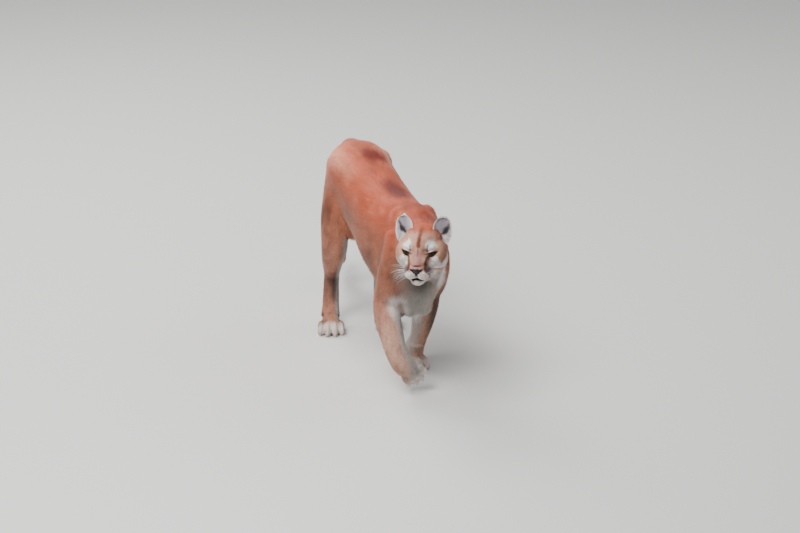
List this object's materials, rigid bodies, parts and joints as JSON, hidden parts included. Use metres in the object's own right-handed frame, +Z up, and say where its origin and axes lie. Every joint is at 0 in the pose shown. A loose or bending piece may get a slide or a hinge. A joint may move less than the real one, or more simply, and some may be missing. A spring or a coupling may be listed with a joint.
{
  "type": "cougar",
  "caption": "Life-size standing model of a walking cougar, right forepaw lifted, head turned to its right, long tail hanging with its tip curled up.",
  "frame": {"origin": "middle of the model's box on the floor under its paws", "axes": "+Z up; the cougar walks towards -Y, its tail trails towards +Y and its left side is towards +X"},
  "size_m": [0.3125, 1.5531, 0.6768],
  "materials": {
    "coat": "short fur, rufous above and white below",
    "nose_leather": "bare moist skin",
    "eye": "polished"
  },
  "bodies": {
    "root": {"head": "coat", "nose": "nose_leather", "eye_left": "eye", "eye_right": "eye", "ear_left": "coat", "ear_right": "coat", "neck": "coat", "chest": "coat", "abdomen": "coat", "rump": "coat", "tail_root": "coat", "tail_middle": "coat", "tail_tip": "coat", "upper_foreleg_left": "coat", "upper_foreleg_right": "coat", "forearm_left": "coat", "forearm_right": "coat", "fore_paw_left": "coat", "fore_paw_right": "coat", "thigh_left": "coat", "thigh_right": "coat", "shank_left": "coat", "shank_right": "coat", "hind_foot_left": "coat", "hind_foot_right": "coat"}
  },
  "joints": []
}
